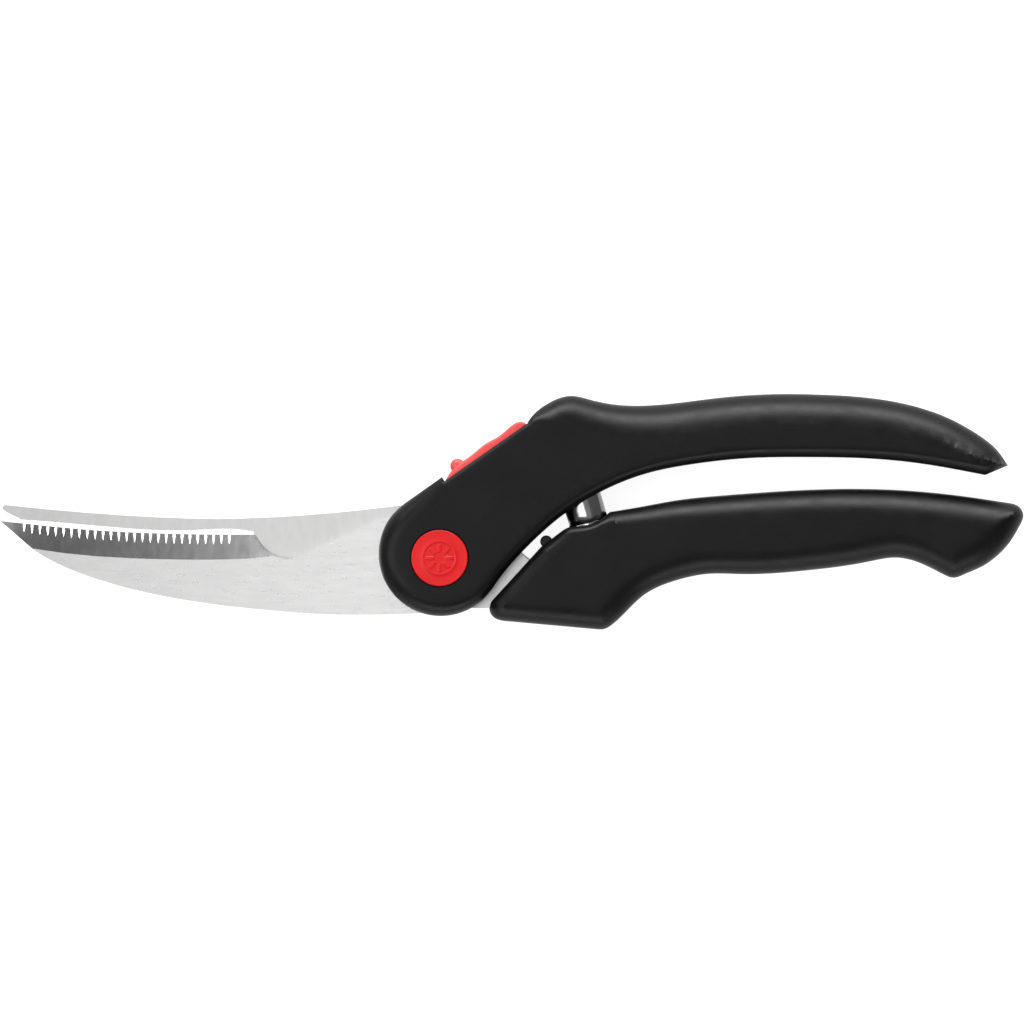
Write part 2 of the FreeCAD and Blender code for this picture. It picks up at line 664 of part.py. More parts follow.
shell = add_rounded_shell("upper_front_blank", upper_grip_runs(), size("front_steel_level"),
                          size("grip_depth"))
front_tang = add_pad("front_tang", lower_blade_outline(), "Sizes.steel", "Sizes.front_steel_level")
tools = fused("upper_front_cuts", [front_tang, lock_recess, lock_run, cap_seat_front,
                                   pivot_cavity_front, upper_pocket, upper_screws, upper_dowels])
keep("upper_grip_front_shell", cut("upper_grip_front_shell", shell, tools))

# The upper grip's rear half stops short of everything that the rear lever sweeps.
shell = add_rounded_shell("upper_rear_blank", upper_grip_runs(), size("front_steel_level"), 0)
SWEEP_START, SWEEP_END = 57.0, 82.0
sweep_round = size("boss_round") + 1.0
sweep_corners = [(2.25, 30), (-30, 30), (-30, -30), (25.3, -30), (25.3, 2.0)]
sweep = add_pad("rear_sweep", [
    arc(PIVOT, sweep_round, SWEEP_START, SWEEP_END),
    *lines(polar(PIVOT, sweep_round, SWEEP_END), *sweep_corners, polar(PIVOT, sweep_round, SWEEP_START)),
], "Sizes.grip_depth + 2", "-1")
tools = fused("upper_rear_cuts", [sweep, lock_recess, lock_run, lock_channel, lock_cavity,
                                  upper_pocket, upper_screws, upper_dowels,
                                  *screw_holes("upper_screw", FRONT_TANG_SCREWS)])
keep("upper_grip_rear_shell", cut("upper_grip_rear_shell", shell, tools))

shell = add_rounded_shell("lower_front_blank", lower_grip_runs(), size("shell_split"),
                          size("grip_depth"))
tools = fused("lower_front_cuts", [lower_screws, lower_dowels, stop_buffer, lower_pocket])
keep("lower_grip_front_shell", cut("lower_grip_front_shell", shell, tools))

shell = add_rounded_shell("lower_rear_blank", lower_grip_runs(), size("shell_split"), 0)
neck = add_pad("rear_neck", rear_neck_outline(), "Sizes.rear_steel_level", "0")
rear_tang = add_pad("rear_tang", upper_blade_outline(), "Sizes.steel + 0.1", "Sizes.rear_steel_level")
tools = fused("lower_rear_cuts", [rear_tang, cap_seat_rear, pivot_cavity_rear, lower_screws,
                                  lower_dowels, stop_buffer, lower_pocket,
                                  *screw_holes("lower_screw", REAR_TANG_SCREWS)])
lower_rear_body = fused("lower_rear_body", [shell, neck])
keep("lower_grip_rear_shell", cut("lower_grip_rear_shell", lower_rear_body, tools))
doc.recompute()

# ---------------------------------------------------------------- check and write
failed = [item.Label for item in doc.Objects if "Invalid" in item.State or "Error" in item.State]
if failed:
    raise RuntimeError("failed objects: " + ", ".join(failed))
for node, item in NODES.items():
    if item.Shape.isNull() or not item.Shape.isValid() or not item.Shape.Solids:
        raise RuntimeError(f"{node} has no valid solid")
if len(NODES["lower_blade"].Shape.Faces) < 2 * FLUTES:
    raise RuntimeError("the lower blade has lost its flutes")

os.makedirs("parts", exist_ok=True)
for node, item in NODES.items():
    item.Shape.exportStep(os.path.join("parts", node + ".step"))
    print(f"{node}: {len(item.Shape.Solids)} solid(s), {item.Shape.Volume / 1000:.3f} cm3")
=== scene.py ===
"""Poultry shears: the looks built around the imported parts.

The grips are moulded half shells with soft edges, the opening spring is a strip wound in a
telescoping volute, and the thumb slide, caps, screws and buffer are small moulded or turned pieces.
The steels, the pivot's pieces, the lock's inner pieces, the dowels and the spring's seats stay as
packed and get their finishes here.
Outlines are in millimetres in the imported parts' frame, and become metres when a mesh is made.
"""
from math import cos, pi, radians, sin

import bmesh
import bpy
import numpy as np
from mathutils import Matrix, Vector
from mathutils.geometry import delaunay_2d_cdt


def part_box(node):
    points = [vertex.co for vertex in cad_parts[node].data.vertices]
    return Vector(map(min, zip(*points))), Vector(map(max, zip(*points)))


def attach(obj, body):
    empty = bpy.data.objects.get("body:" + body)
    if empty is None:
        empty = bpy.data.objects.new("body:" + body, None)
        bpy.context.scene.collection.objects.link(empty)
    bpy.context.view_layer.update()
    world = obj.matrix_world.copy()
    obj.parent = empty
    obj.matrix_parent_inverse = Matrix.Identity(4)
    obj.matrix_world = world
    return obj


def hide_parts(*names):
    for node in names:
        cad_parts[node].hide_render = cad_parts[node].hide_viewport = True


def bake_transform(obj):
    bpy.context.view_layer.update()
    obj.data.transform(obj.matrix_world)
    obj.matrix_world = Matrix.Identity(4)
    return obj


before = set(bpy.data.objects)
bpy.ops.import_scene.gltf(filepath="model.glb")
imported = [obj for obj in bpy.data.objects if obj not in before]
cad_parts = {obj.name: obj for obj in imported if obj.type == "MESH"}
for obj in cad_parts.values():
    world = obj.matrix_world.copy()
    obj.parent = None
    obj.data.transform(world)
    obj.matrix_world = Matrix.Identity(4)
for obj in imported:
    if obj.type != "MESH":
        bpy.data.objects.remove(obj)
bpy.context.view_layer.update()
MM = 0.001

# ---------------------------------------------------------------- levels read from the frame
GRIP_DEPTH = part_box("upper_grip_front_shell")[1].z / MM
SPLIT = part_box("lower_grip_front_shell")[0].z / MM
FRONT_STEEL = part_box("lower_blade")[0].z / MM
REAR_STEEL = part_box("upper_blade")[0].z / MM
CAP_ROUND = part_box("front_pivot_cap")[1].x / MM
CAP_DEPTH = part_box("rear_pivot_cap")[1].z / MM

# ---------------------------------------------------------------- driving places and sizes
PIVOT = (0, 0)
BOSS = (0.3, 1.0)
BOSS_ROUND = 15.2
DISC_ROUND = 13.9
SWEEP_ROUND = BOSS_ROUND + 1.0
SLOT_ANGLE = radians(35)
SLOT_EDGE = 14.6
RECESS_START, RECESS_END = 11.8, 36.6


# ---------------------------------------------------------------- outlines
def polar(centre, radius, degrees):
    """A point at a radius and an angle in degrees from a centre."""
    angle = radians(degrees)
    return (centre[0] + radius * cos(angle), centre[1] + radius * sin(angle))


def round_run(centre, radius, start, end, count=13):
    """Points along a circle's arc, from one angle in degrees to another."""
    return [polar(centre, radius, angle) for angle in np.linspace(start, end, count)]


def slot_point(along, out):
    """A point given along the lock's slot and out from the pivot."""
    return (along * cos(SLOT_ANGLE) - out * sin(SLOT_ANGLE),
            along * sin(SLOT_ANGLE) + out * cos(SLOT_ANGLE))


def upper_grip_runs():
    """The upper grip and its boss, anticlockwise, with the recess that the thumb slide runs in."""
    boss_top = BOSS_ROUND + BOSS[1] * cos(SLOT_ANGLE) - BOSS[0] * sin(SLOT_ANGLE)
    recess_start = slot_point(RECESS_START, SLOT_EDGE)
    recess_end = slot_point(RECESS_END, SLOT_EDGE)
    boss = round_run(BOSS, BOSS_ROUND, 125, 326)
    underside = [boss[-1], (15.6, -3.75), (18.7, -0.12), (24.6, 5.82), (30.4, 10.67), (36, 14.3),
                 (42.2, 17.5), (50, 20.45), (61.7, 22.9), (77.4, 24.5), (89, 24.66),
                 (100.9, 24.5), (116.5, 23.26), (133.4, 20.3)]
    shoulder = slot_point(RECESS_END + 5, boss_top)
    slope = [shoulder, slot_point(RECESS_END + 2.5, 15.6), slot_point(RECESS_END, 14.8)]
    top = [(138.95, 22.6), (136.1, 26.6), (132.2, 29.8), (124.4, 34.2), (116.5, 37.0),
           (108.7, 38.65), (93, 39.95), (85.2, 40.1), (69.6, 39.3), (58, 37.9), (50, 37.25),
           (42.2, 37.6), (36.3, 38.85), (32.4, 39.65), (28.5, 38.8), shoulder]
    start_corner = slot_point(RECESS_START, boss_top)
    return [boss, underside, [underside[-1], top[0]], top, slope, [slope[-1], recess_end],
            [recess_end, recess_start], [recess_start, start_corner], [start_corner, boss[0]]]


def lower_grip_runs():
    """The lower grip, clockwise from its front end."""
    front = [(12.7, -10.6), (24.9, 2.8), (30.3, 6.85)]
    seat = [front[-1], (31.6, 7.5), (33.1, 7.7), (35.1, 7.87), (37.35, 8.4), (39.0, 9.2),
            (40.1, 9.96), (41.7, 11.25)]
    grip = [seat[-1], (50, 12.65), (57.8, 14.07), (69.6, 15.3), (85.2, 16.4),
            (100.9, 16.88), (116.5, 16.3), (132.2, 14.5), (138.8, 13.5), (141.6, 12.6),
            (142.75, 10.4), (142.0, 8.2), (139.5, 4.0), (136.1, 0.34), (132.2, -2.3),
            (128.3, -4.0), (125.6, -4.85), (123.4, -4.1), (116.5, -0.86), (112.0, 0.05),
            (104.8, -0.93), (89.1, -3.13), (73.5, -3.96), (65.7, -3.9), (57.8, -5.5),
            (50, -9.03), (42.2, -16.3), (40.2, -17.4), (38.0, -17.4)]
    nose = [(15.6, -15.4), (13.2, -14.5), (12.2, -12.7), front[0]]
    return [front[:2], front[1:], seat, grip, [grip[-1], nose[0]], nose]


def lower_rear_runs():
    """The rear boss and its neck run into the lower grip, anticlockwise from the boss's top."""
    boss = round_run(PIVOT, DISC_ROUND, 52, 298.2, 25)
    front, low_front, seat, grip, base, nose = lower_grip_runs()
    neck_low, neck_high = (12.25, -12.26), (22.05, -0.335)
    return [boss, [boss[-1], neck_low], [neck_low, nose[1], nose[0]], base[::-1], grip[::-1],
            seat[::-1], low_front[::-1], [front[-1], neck_high], [neck_high, boss[0]]]


def spline_points(points, spacing):
    """Evenly spaced points on a natural cubic spline through the given ones."""
    places = np.array(points, float)
    steps = np.linalg.norm(np.diff(places, axis=0), axis=1)
    knots = np.concatenate([[0], np.cumsum(steps)])
    count = max(2, int(round(knots[-1] / spacing)) + 1)
    where = np.linspace(0, knots[-1], count)
    if len(places) == 2:
        return places[0] + (places[1] - places[0]) * (where / knots[-1])[:, None]
    inner = len(places) - 2
    system = np.zeros((inner, inner))
    for row in range(inner):
        system[row, row] = 2 * (steps[row] + steps[row + 1])
        if row + 1 < inner:
            system[row, row + 1] = system[row + 1, row] = steps[row + 1]
    slopes = np.diff(places, axis=0) / steps[:, None]
    bends = np.zeros_like(places)
    bends[1:-1] = np.linalg.solve(system, 6 * np.diff(slopes, axis=0))
    span = np.clip(np.searchsorted(knots, where, side="right") - 1, 0, len(steps) - 1)
    left = (knots[span + 1] - where) / steps[span]
    right = 1 - left
    square = (steps[span] ** 2)[:, None] / 6
    return (left[:, None] * places[span] + right[:, None] * places[span + 1]
            + ((left ** 3 - left)[:, None] * bends[span]
               + (right ** 3 - right)[:, None] * bends[span + 1]) * square)


def closed_outline(runs, spacing=0.7):
    """The runs as one closed ring of points, and how far round the run list each point is."""
    places, stations = [], []
    for number, run in enumerate(runs):
        points = spline_points(run, spacing)[:-1]
        places.append(points)
        stations.append(number + np.arange(len(points)) / len(points))
    return np.concatenate(places), np.concatenate(stations)


# ---------------------------------------------------------------- moulded bodies
# A moulding's face is filled with rings of points across its rolled edge, then with a triangular grid.
# A ring's point is dropped where another stretch of outline is nearer than the one it was set in from.
# A grid point is kept where it is far enough from rings and outline, in shares of the grid's spacing.
RING_SHARES = [0.012, 0.04, 0.09, 0.16, 0.25, 0.36, 0.49, 0.63, 0.79, 1.0]
RING_KEPT = 0.97
FILL_SPACING = 1.3
FILL_ROW = 0.87
FILL_TO_RING = 0.55
FILL_TO_EDGE = 0.5
# The small bevel along a parting face, and how close two points are one.
PARTING = 0.22
WELD = 1e-7


def to_outline(points, outline):
    """Each point's distance to the closed outline, and where on it the nearest place is."""
    span = np.roll(outline, -1, axis=0) - outline
    offset = points[:, None] - outline[None]
    share = np.clip((offset * span).sum(2) / (span ** 2).sum(1), 0, 1)
    gaps = np.linalg.norm(offset - share[..., None] * span, axis=2)
    nearest = gaps.argmin(1)
    row = np.arange(len(points))
    return gaps[row, nearest], nearest, share[row, nearest]


def inside(points, outline):
    """True for each point that lies within the closed outline."""
    ahead = np.roll(outline, -1, axis=0)
    crossed = (outline[None, :, 1] > points[:, None, 1]) != (ahead[None, :, 1] > points[:, None, 1])
    rise = np.where(ahead[:, 1] == outline[:, 1], 1, ahead[:, 1] - outline[:, 1])
    where = outline[:, 0] + (points[:, None, 1] - outline[:, 1]) / rise * (ahead[:, 0] - outline[:, 0])
    return (crossed & (points[:, None, 0] < where)).sum(1) % 2 == 1


def inward_normals(outline):
    """A unit vector into the anticlockwise outline at each of its points."""
    heading = np.roll(outline, -1, axis=0) - np.roll(outline, 1, axis=0)
    normal = np.stack([-heading[:, 1], heading[:, 0]], axis=1)
    return normal / np.linalg.norm(normal, axis=1)[:, None]


def triangles(points, count):
    """Triangles over points whose first count are the closed outline."""
    places = [Vector(point) for point in points]
    made = delaunay_2d_cdt(places, [], [list(range(count))], 1, WELD)
    first = [origins[0] for origins in made[3]]
    return [[first[corner] for corner in face] for face in made[2]]


def rounded_face(outline, edge, face, side, spacing):
    """A moulding's outer face: flat in its middle, rolled over towards its outline.

    edge gives the roll's width, its depth and its fullness at each outline point.
    """
    width, depth, fullness = edge
    normal = inward_normals(outline)
    rings = []
    for share in RING_SHARES:
        ring = outline + normal * (share * width)[:, None]
        gap = to_outline(ring, outline)[0]
        rings.append(ring[gap > RING_KEPT * share * width])
    rings = np.concatenate(rings)
    low, high = outline.min(0), outline.max(0)
    columns = np.arange(low[0], high[0], spacing)
    rows = np.arange(low[1], high[1], spacing * FILL_ROW)
    fill = np.array([(x + (0.5 * spacing if j % 2 else 0), y)
                     for j, y in enumerate(rows) for x in columns])
    fill = fill[inside(fill, outline)]
    near = np.array([np.linalg.norm(rings - point, axis=1).min() for point in fill])
    edge_gap = to_outline(fill, outline)[0]
    fill = fill[(near > FILL_TO_RING * spacing) & (edge_gap > FILL_TO_EDGE * spacing)]
    points = np.concatenate([outline, rings, fill])
    gap, nearest, share = to_outline(points, outline)
    after = (nearest + 1) % len(outline)

    def there(values):
        """A value of each outline point, read at each point's nearest place on the outline."""
        return values[nearest] * (1 - share) + values[after] * share

    reach = np.clip(gap / there(width), 0, 1)
    power = there(fullness)
    lift = (1 - (1 - reach) ** power) ** (1 / power)
    level = face - side * there(depth) * (1 - lift)
    return points, level, triangles(points, len(outline))


def edge_values(stations, table, easing=7):
    """Interpolates rows of (station, width, depth, fullness) round the closed outline."""
    rows = np.array(table, float)
    loop = rows[-1, 0]
    kernel = np.ones(easing) / easing
    values = []
    for column in (1, 2, 3):
        raw = np.interp(stations, rows[:, 0], rows[:, column], period=loop)
        padded = np.concatenate([raw[-easing:], raw, raw[:easing]])
        values.append(np.convolve(padded, kernel, "same")[easing:-easing])
    return values


def anticlockwise(outline, stations):
    """The outline and its stations, turned to run anticlockwise."""
    ahead = np.roll(outline, -1, axis=0)
    area = (outline[:, 0] * ahead[:, 1] - outline[:, 1] * ahead[:, 0]).sum()
    return (outline, stations) if area > 0 else (outline[::-1], stations[::-1])


def band(low, high, count):
    """The faces between two closed rings of points, from each ring's first point."""
    return [[low + i, low + (i + 1) % count, high + (i + 1) % count, high + i] for i in range(count)]


def moulding(name, outline, upper, lower, spacing=FILL_SPACING):
    """A closed moulding between two faces.

    Each face is its level and either its rounded edge or the width of a plain bevel.
    """
    count = len(outline)
    vertices, faces, rims = [], [], []
    for side, (level, edge) in ((1, upper), (-1, lower)):
        start = len(vertices)
        if isinstance(edge, float):
            inner = outline + inward_normals(outline) * edge
            vertices += [(x, y, level) for x, y in inner]
            faces += [[start + i for i in corners] for corners in triangles(inner, count)]
            ring = len(vertices)
            vertices += [(x, y, level - side * edge) for x, y in outline]
            faces += band(start, ring, count)
            rims.append(ring)
        else:
            points, levels, corners = rounded_face(outline, edge, level, side, spacing)
            vertices += [(x, y, z) for (x, y), z in zip(points, levels)]
            faces += [[start + i for i in corner] for corner in corners]
            rims.append(start)
    faces += band(*rims, count)
    return mesh_object(name, vertices, faces)


def mesh_object(name, vertices, faces, sharp=40):
    """A smooth-shaded object in metres from millimetre vertices, its normals outwards."""
    mesh = bpy.data.meshes.new(name)
    mesh.from_pydata([Vector(v) * MM for v in vertices], [], faces)
    work = bmesh.new()
    work.from_mesh(mesh)
    bmesh.ops.remove_doubles(work, verts=work.verts, dist=WELD)
    bmesh.ops.recalc_face_normals(work, faces=work.faces)
    work.to_mesh(mesh)
    work.free()
    mesh.shade_smooth()
    mesh.set_sharp_from_angle(angle=radians(sharp))
    piece = bpy.data.objects.new(name, mesh)
    bpy.context.scene.collection.objects.link(piece)
    return piece


def prism(points, low, high):
    """A plain closed prism of a polygon, from one level to another, to cut or join with."""
    count = len(points)
    vertices = [(x, y, low) for x, y in points] + [(x, y, high) for x, y in points]
    faces = [list(range(count))[::-1], list(range(count, 2 * count)), *band(0, count, count)]
    return mesh_object("tool", vertices, faces, sharp=30)


def round_tool(centre, radius, low, high):
    """An upright round prism, to cut a round hole or recess with."""
    count = 72
    return prism(round_run(centre, radius, 0, 360 - 360 / count, count), low, high)


def combine(piece, tools, operation="DIFFERENCE", sharp=40):
    """Cuts the tools out of the piece, or joins them to it, and removes them."""
    for tool in tools:
        step = piece.modifiers.new("combine", "BOOLEAN")
        step.operation = operation
        step.solver = "EXACT"
        step.object = tool
    made = bpy.data.meshes.new_from_object(
        piece.evaluated_get(bpy.context.evaluated_depsgraph_get()))
    piece.modifiers.clear()
    piece.data = made
    for tool in tools:
        bpy.data.objects.remove(tool)
    made.shade_smooth()
    made.set_sharp_from_angle(angle=radians(sharp))
    return piece


# ---------------------------------------------------------------- finishes
def material(name, **values):
    """A Principled material with the given socket values, and its node tree to build on."""
    made = bpy.data.materials.new(name)
    made.use_nodes = True
    shader = made.node_tree.nodes["Principled BSDF"]
    for socket, value in values.items():
        shader.inputs[socket.replace("_", " ")].default_value = value
    return made, made.node_tree, shader


def noise(tree, scale, stretch=(1, 1, 1), detail=3.0):
    """Noise fixed to the piece, stretched along its axes to make streaks."""
    place = tree.nodes.new("ShaderNodeTexCoord")
    mapping = tree.nodes.new("ShaderNodeMapping")
    mapping.inputs["Scale"].default_value = stretch
    texture = tree.nodes.new("ShaderNodeTexNoise")
    texture.inputs["Scale"].default_value = scale
    texture.inputs["Detail"].default_value = detail
    tree.links.new(place.outputs["Object"], mapping.inputs["Vector"])
    tree.links.new(mapping.outputs["Vector"], texture.inputs["Vector"])
    return texture.outputs["Fac"]


def ramp(tree, factor, low, high, start=0.3, end=0.7):
    """Turns a factor into a range of colours or greys."""
    node = tree.nodes.new("ShaderNodeValToRGB")
    tree.links.new(factor, node.inputs["Fac"])
    for element, place, colour in zip(node.color_ramp.elements, (start, end), (low, high)):
        element.position = place
        element.color = (*colour, 1) if len(colour) == 3 else (colour[0],) * 3 + (1,)
    return node.outputs["Color"]


def painted_shade_along_x(tree, colour, places, ends):
    """Painted shade: the colour darkened along the shears' length, with grey levels at two X places, in
    metres.
    """
    place = tree.nodes.new("ShaderNodeTexCoord")
    axes = tree.nodes.new("ShaderNodeSeparateXYZ")
    share = tree.nodes.new("ShaderNodeMapRange")
    share.inputs["From Min"].default_value, share.inputs["From Max"].default_value = places
    tree.links.new(place.outputs["Object"], axes.inputs["Vector"])
    tree.links.new(axes.outputs["X"], share.inputs["Value"])
    level = ramp(tree, share.outputs["Result"], (ends[0],), (ends[1],), 0, 1)
    product = tree.nodes.new("ShaderNodeVectorMath")
    product.operation = "MULTIPLY"
    tree.links.new(colour, product.inputs[0])
    tree.links.new(level, product.inputs[1])
    return product.outputs["Vector"]


def bump(tree, shader, height, strength, distance):
    """Gives the shader fine relief from a height, the relief's full depth in metres."""
    node = tree.nodes.new("ShaderNodeBump")
    node.inputs["Strength"].default_value = strength
    node.inputs["Distance"].default_value = distance
    tree.links.new(height, node.inputs["Height"])
    tree.links.new(node.outputs["Normal"], shader.inputs["Normal"])


def moulded_plastic(name, dark, light, roughness, level, grain):
    """Moulded plastic with a fine eroded grain and faintly uneven gloss."""
    made, tree, shader = material(name, Specular_IOR_Level=level)
    shade = ramp(tree, noise(tree, 90, detail=4), dark, light)
    tree.links.new(shade, shader.inputs["Base Color"])
    gloss = ramp(tree, noise(tree, 260, detail=3), (roughness - 0.04,), (roughness + 0.05,))
    tree.links.new(gloss, shader.inputs["Roughness"])
    bump(tree, shader, noise(tree, grain, detail=2), strength=0.35, distance=0.00006)
    return made


def brushed_metal(name, dark, light, roughness, stretch, scale, relief=0.12,
                  places=(-0.1, 0.02), ends=(1.0, 1.0)):
    """Metal with fine straight brushing marks, and painted shade: a grey level at each of two places
    along X.
    """
    made, tree, shader = material(name, Metallic=1.0)
    streaks = noise(tree, scale, stretch, detail=5)
    colour = painted_shade_along_x(tree, ramp(tree, streaks, dark, light), places, ends)
    tree.links.new(colour, shader.inputs["Base Color"])
    gloss = ramp(tree, noise(tree, scale * 1.7, stretch, detail=4),
                 (roughness - 0.012,), (roughness + 0.018,))
    tree.links.new(gloss, shader.inputs["Roughness"])
    if relief:
        bump(tree, shader, streaks, strength=relief, distance=0.00003)
    return made


FINISHES = {
    "grip": moulded_plastic("grip_plastic", (0.0012,) * 3, (0.0022, 0.0022, 0.0026), 0.42, 0.155, 2300),
    "red": moulded_plastic("cap_plastic", (0.38, 0.006, 0.007), (0.44, 0.008, 0.010), 0.36, 0.18, 1500),
    "slide": moulded_plastic("slide_plastic", (0.56, 0.05, 0.05), (0.64, 0.06, 0.06), 0.36, 0.22, 1500),
    "rubber": moulded_plastic("buffer_rubber", (0.004,) * 3, (0.008,) * 3, 0.6, 0.25, 1200),
    # The blade steels' grey levels along X are painted shade, darker towards the tips.
    "front_steel": brushed_metal("lower_blade_steel", (0.69,) * 3, (0.75, 0.75, 0.745), 0.28,
                                 (1, 5, 5), scale=160, relief=0, ends=(0.48, 1.0)),
    "rear_steel": brushed_metal("upper_blade_steel", (0.57,) * 3, (0.62, 0.62, 0.615), 0.3,
                                (12, 3, 12), scale=80, relief=0, ends=(0.54, 1.0)),
    # The ground bevel is rougher ground steel, and its dark grey is also a painted dark reflection.
    "ground_steel_painted_dark": brushed_metal("ground_bevel_steel_painted_dark", (0.24,) * 3, (0.26, 0.26, 0.26), 0.24,
                                  (8, 3, 3), scale=60, relief=0,
                                  places=(-0.1, -0.05), ends=(0.33, 1.0)),
    "flute_steel": brushed_metal("ground_flute_steel", (0.50,) * 3, (0.60, 0.60, 0.60), 0.3,
                                 (14, 2, 2), scale=60, relief=0.05),
    "spring": brushed_metal("spring_steel", (0.22,) * 3, (0.27, 0.27, 0.275), 0.15,
                            (14, 14, 2), scale=30, relief=0.05),
    "fastener": brushed_metal("fastener_steel", (0.50, 0.50, 0.51), (0.60, 0.60, 0.60), 0.3,
                              (6, 6, 6), scale=60),
    "bronze": brushed_metal("bronze", (0.55, 0.33, 0.13), (0.66, 0.42, 0.18), 0.35,
                            (6, 6, 6), scale=60),
}


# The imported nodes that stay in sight, by finish. The serrated blade has three finishes of its own.
KEPT_NODES = {
    "rear_steel": ["upper_blade"],
    "fastener": ["pivot_bolt", "bolt_head_washer", "spring_washer", "pivot_nut", "lock_hook",
                 "lock_pin", "upper_tang_dowels", "lower_tang_dowels"],
    "bronze": ["pivot_bush"],
    "spring": ["lock_detent_spring", "upper_spring_seat", "lower_spring_seat"],
}


def finish_nodes():
    """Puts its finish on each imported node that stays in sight."""
    for finish, nodes in KEPT_NODES.items():
        for node in nodes:
            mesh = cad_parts[node].data
            mesh.materials.clear()
            mesh.materials.append(FINISHES[finish])


# Where the bevel starts at the blade's front and where it would end at its back: X, then each Y.
BEVEL = np.array([(-108.5, 4.9, 10.6), (-104, 3.4, 10.2), (-99.5, 2.3, 9.75), (-92, 1.2, 9.05),
                  (-84, 0.42, 8.45), (-76, -0.06, 8.0), (-68, -0.32, 7.65), (-60, -0.44, 7.4),
                  (-52, -0.38, 7.3), (-46.5, -0.16, 7.3), (-41.2, 0.4, 7.3)])
BEVEL_DROP = 2.95
BEVEL_MARGIN = 0.05
# A cut face's upward share of its normal: less is an upright side, and more is the flat front.
CUT_FACE = (0.2, 0.995)


def finish_blade(node):
    """Gives the serrated blade its flat, ground-bevel and flute finishes, face by face; the bevel's dark
    colour is a painted dark reflection.
    """
    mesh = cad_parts[node].data
    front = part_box(node)[1].z / MM
    mesh.materials.clear()
    for finish in ("front_steel", "ground_steel_painted_dark", "flute_steel"):
        mesh.materials.append(FINISHES[finish])
    for face in mesh.polygons:
        if not CUT_FACE[0] < face.normal.z < CUT_FACE[1]:
            continue
        x, y, z = face.center / MM
        foot, over = (np.interp(x, BEVEL[:, 0], BEVEL[:, column]) for column in (1, 2))
        under_bevel = front - BEVEL_DROP * (y - foot) / (over - foot) - z
        face.material_index = 1 if under_bevel < BEVEL_MARGIN else 2


def finish_piece(piece, finish, body, node):
    """Gives a built piece its finish and body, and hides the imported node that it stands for."""
    piece.data.materials.clear()
    piece.data.materials.append(FINISHES[finish])
    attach(piece, body)
    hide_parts(node)


# ---------------------------------------------------------------- turned and boxed shapes
def turned(name, profile, centre):
    """A closed body turned about an upright line.

    Its profile is (radius, level) pairs, and starts and ends on the axis.
    """
    segments = 48
    vertices, rings, faces = [], [], []
    for radius, level in profile:
        if radius == 0:
            rings.append([len(vertices)] * segments)
            vertices.append((*centre, level))
        else:
            rings.append(list(range(len(vertices), len(vertices) + segments)))
            vertices += [(*place, level) for place in
                         round_run(centre, radius, 0, 360 - 360 / segments, segments)]
    for low, high in zip(rings, rings[1:]):
        for i in range(segments):
            j = (i + 1) % segments
            corners = [low[i], low[j], high[j], high[i]]
            faces.append(list(dict.fromkeys(corners)))
    return mesh_object(name, vertices, faces)


def rounded_profile(radius, low, high, rounding):
    """A turned body's profile with both of its rims rounded."""
    turn = np.linspace(0, pi / 2, 5)
    foot = [(radius - rounding * (1 - sin(a)), low + rounding * (1 - cos(a))) for a in turn]
    head = [(r, high + low - z) for r, z in reversed(foot)]
    return [(0, low), *foot, *head, (0, high)]


def slot_tool(along, out, low, high):
    """A box beside the lock's slot, from (start, end) along it and (low, high) out from it."""
    corners = [(along[0], out[0]), (along[1], out[0]), (along[1], out[1]), (along[0], out[1])]
    return prism([slot_point(*corner) for corner in corners], low, high)


SPRING_FOOT = Vector((36.8, 8.2, 9.0))
SPRING_LEAN = radians(16)
SPRING_UP = Vector((-sin(SPRING_LEAN), cos(SPRING_LEAN), 0))
SPRING_SIDE = Vector((cos(SPRING_LEAN), sin(SPRING_LEAN), 0))
SPRING_FRONT = Vector((0, 0, 1))
SPRING_POCKET = 5.5


def spring_place(radius, angle, height):
    """A point round the spring's axis, its angle from the side towards the front."""
    return (SPRING_FOOT + SPRING_SIDE * (radius * cos(angle)) + SPRING_FRONT * (radius * sin(angle))
            + SPRING_UP * height)


def spring_tool(low, high):
    """The round pocket on the spring's axis, between two heights, to cut with."""
    count = 64
    angles = [2 * pi * i / count for i in range(count)]
    vertices = [spring_place(SPRING_POCKET, a, level) for level in (low, high) for a in angles]
    faces = [list(range(count)), list(range(count, 2 * count)), *band(0, count, count)]
    return mesh_object("tool", vertices, faces)


# ---------------------------------------------------------------- the grips
UPPER_SCREWS = [(30, 26.5), (80, 32.3), (126, 28.5)]
LOWER_SCREWS = [(28, -8), (75, 6.6), (128, 4.5)]
SCREW_HEAD = 2.7
SCREW_SINK = 0.6
SCREW_HEAD_DEPTH = 1.6
SCREW_LENGTH = 13.6
SCREW_SHANK = 1.4
CROSS_ARM = 1.5
CROSS_HALF_WIDTH = 0.27
CROSS_DEPTH = 1.0
CAVITY_ROUND = 6.6
CAP_GAP = 0.25
JOIN_GAP = 0.01
UPPER_POCKET = (2, 11.2)
LOWER_POCKET = (0, 6)
# The lock's rooms in the upper grip: along its slot, out from the pivot, and the levels between.
LOCK_LEVELS = (3.9, 9.2)
LEG_ROOM = ((18.6, 30.0), (12, 16.6))
HOOK_ROOM = ((11.0, 31.0), (4.6, 13.5))
SLIDE_ROOM = ((36.0, 40.4), (SLOT_EDGE, SLOT_EDGE + 6))
SLIDE_ROOM_LEVELS = (3.9, 14.1)

